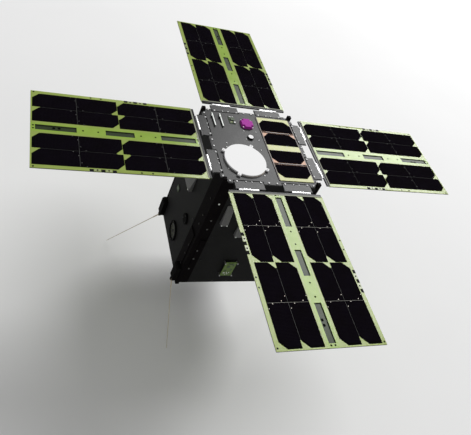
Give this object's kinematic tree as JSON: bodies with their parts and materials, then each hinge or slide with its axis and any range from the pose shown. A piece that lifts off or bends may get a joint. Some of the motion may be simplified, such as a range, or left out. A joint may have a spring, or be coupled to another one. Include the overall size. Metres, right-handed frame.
{
  "type": "cube satellite with unfolded solar wings",
  "caption": "Box-shaped small satellite with four hinged solar wings unfolded level with its top deck, a patch antenna and canted whip antennas at its base.",
  "frame": {"origin": "middle of the plane that the four lower rail feet end in", "axes": "+Z out of the deck with the patch antenna, +X towards the right wing, +Y towards the back wing"},
  "size_m": [0.949, 0.949, 0.4799],
  "materials": {
    "rail_black": "hard black anodised",
    "panel_grey": "dark grey anodised",
    "deck_grey": "speckled grey conversion coat",
    "stack_block": "plain block for boards, batteries and tanks",
    "plain_aluminium": "machined",
    "hinge_metal": "satin machined",
    "board_green": "pale green laminate",
    "deck_board": "copper coloured laminate",
    "solar_cell": "near black cell under cover glass",
    "pad_rubber": "matt",
    "copper": "copper foil",
    "patch_white": "white ceramic",
    "hood_magenta": "magenta anodised",
    "board_bright": "green circuit board",
    "rest_grey": "satin machined",
    "mount_black": "black anodised",
    "rod_steel": "spring steel",
    "fitting_black": "black",
    "fin_white": "white solder resist on thin board",
    "sensor_button": "white window in a black ring",
    "lens_green": "dark coated optic"
  },
  "bodies": {
    "bus": {"antenna_fins": "fin_white", "antenna_mount_back_left": "mount_black", "antenna_mount_back_right": "mount_black", "antenna_mount_front_left": "mount_black", "antenna_mount_front_right": "mount_black", "avionics_stack": "stack_block", "base_plate": "plain_aluminium", "camera_hood": "hood_magenta", "circuit_module": "board_bright", "deck_plate": "deck_grey", "deck_solar_board": "deck_board", "deck_solar_cells": "solar_cell", "hinge_brackets_back": "hinge_metal", "hinge_brackets_front": "hinge_metal", "hinge_brackets_left": "hinge_metal", "hinge_brackets_right": "hinge_metal", "module_posts": "hinge_metal", "patch_antenna": "patch_white", "patch_base": "copper", "port_lenses": "lens_green", "port_rings": "fitting_black", "rail_back_left": "rail_black", "rail_back_right": "rail_black", "rail_front_left": "rail_black", "rail_front_right": "rail_black", "side_panel_back": "panel_grey", "side_panel_front": "panel_grey", "side_panel_left": "panel_grey", "side_panel_right": "panel_grey", "side_sensor": "board_bright", "sun_sensor": "sensor_button", "test_connector": "board_bright", "top_frame": "plain_aluminium", "wing_rest_back": "rest_grey", "wing_rest_front": "rest_grey", "wing_rest_left": "rest_grey", "wing_rest_right": "rest_grey"},
    "wing_front": {"wing_board_front": "board_green", "wing_cells_front": "solar_cell", "wing_frame_front": "hinge_metal", "wing_pads_front": "pad_rubber"},
    "wing_right": {"wing_board_right": "board_green", "wing_cells_right": "solar_cell", "wing_frame_right": "hinge_metal", "wing_pads_right": "pad_rubber"},
    "wing_back": {"wing_board_back": "board_green", "wing_cells_back": "solar_cell", "wing_frame_back": "hinge_metal", "wing_pads_back": "pad_rubber"},
    "wing_left": {"wing_board_left": "board_green", "wing_cells_left": "solar_cell", "wing_frame_left": "hinge_metal", "wing_pads_left": "pad_rubber"},
    "antenna_back_right": {"antenna_rod_back_right": "rod_steel"},
    "antenna_front_right": {"antenna_rod_front_right": "rod_steel"},
    "antenna_front_left": {"antenna_rod_front_left": "rod_steel"},
    "antenna_back_left": {"antenna_rod_back_left": "rod_steel"}
  },
  "joints": [
    {"name": "wing_hinge_front", "type": "hinge", "parent": "bus", "child": "wing_front", "pos_m": [0, -0.1307, 0.3575], "axis": [1, 0, 0], "range_deg": [0, 90], "stiffness_Nm_per_rad": 0.5, "springref_deg": -171.89},
    {"name": "wing_hinge_right", "type": "hinge", "parent": "bus", "child": "wing_right", "pos_m": [0.1307, 0, 0.3575], "axis": [0, 1, 0], "range_deg": [0, 90], "stiffness_Nm_per_rad": 0.5, "springref_deg": -171.89},
    {"name": "wing_hinge_back", "type": "hinge", "parent": "bus", "child": "wing_back", "pos_m": [0, 0.1307, 0.3575], "axis": [-1, 0, 0], "range_deg": [0, 90], "stiffness_Nm_per_rad": 0.5, "springref_deg": -171.89},
    {"name": "wing_hinge_left", "type": "hinge", "parent": "bus", "child": "wing_left", "pos_m": [-0.1307, 0, 0.3575], "axis": [0, -1, 0], "range_deg": [0, 90], "stiffness_Nm_per_rad": 0.5, "springref_deg": -171.89},
    {"name": "antenna_hinge_back_right", "type": "hinge", "parent": "bus", "child": "antenna_back_right", "pos_m": [0.12105, 0.1, 0.0034], "axis": [-1, 0, 0], "range_deg": [0, 135], "stiffness_Nm_per_rad": 0.004, "springref_deg": -57.3},
    {"name": "antenna_hinge_front_right", "type": "hinge", "parent": "bus", "child": "antenna_front_right", "pos_m": [0.12105, -0.1, 0.0034], "axis": [0, 1, 0], "range_deg": [0, 135], "stiffness_Nm_per_rad": 0.004, "springref_deg": -57.3},
    {"name": "antenna_hinge_front_left", "type": "hinge", "parent": "bus", "child": "antenna_front_left", "pos_m": [-0.12105, -0.1, 0.0034], "axis": [1, 0, 0], "range_deg": [0, 135], "stiffness_Nm_per_rad": 0.004, "springref_deg": -57.3},
    {"name": "antenna_hinge_back_left", "type": "hinge", "parent": "bus", "child": "antenna_back_left", "pos_m": [-0.12105, 0.1, 0.0034], "axis": [0, -1, 0], "range_deg": [0, 135], "stiffness_Nm_per_rad": 0.004, "springref_deg": -57.3}
  ]
}
